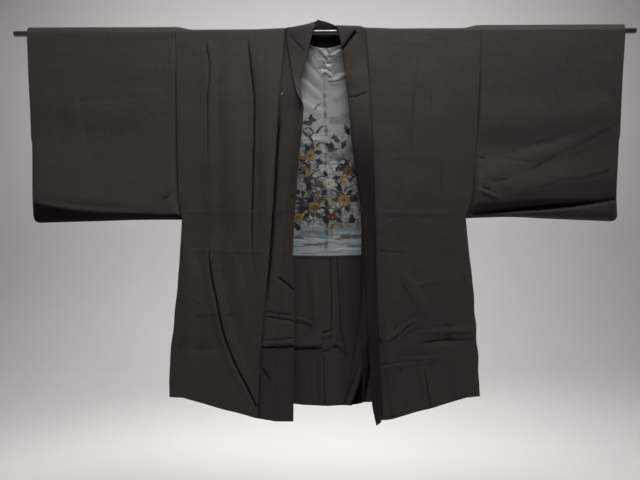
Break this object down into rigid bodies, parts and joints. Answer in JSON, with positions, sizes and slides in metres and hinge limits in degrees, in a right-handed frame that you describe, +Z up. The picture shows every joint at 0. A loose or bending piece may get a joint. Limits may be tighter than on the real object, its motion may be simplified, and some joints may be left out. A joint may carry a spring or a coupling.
{
  "type": "haori jacket on a hanging rod",
  "caption": "Open-fronted Japanese silk jacket with wide square sleeves and a long folded collar, hung flat on a straight rod through its sleeves.",
  "frame": {"origin": "middle of the rod's axis, at the neck", "axes": "+X to the viewer's right along the rod, +Z up, the jacket's front faces -Y"},
  "size_m": [1.424, 0.0649, 0.9161],
  "materials": {
    "silk": "fine woven brown-black silk, dull with a soft sheen",
    "satin": "silver-grey figured satin lining",
    "rod": "glossy black"
  },
  "bodies": {
    "root": {"rod": "rod", "front_left": "silk", "front_right": "silk", "back_left": "silk", "back_right": "silk", "gusset_left": "silk", "gusset_right": "silk", "sleeve_left_front": "silk", "sleeve_left_back": "silk", "sleeve_right_front": "silk", "sleeve_right_back": "silk", "collar_left": "silk", "collar_neck": "silk", "collar_right": "silk", "turn_up_left": "silk", "turn_up_right": "silk", "lining_left": "satin", "lining_right": "satin", "loop_left": "silk", "loop_right": "silk"}
  },
  "joints": []
}
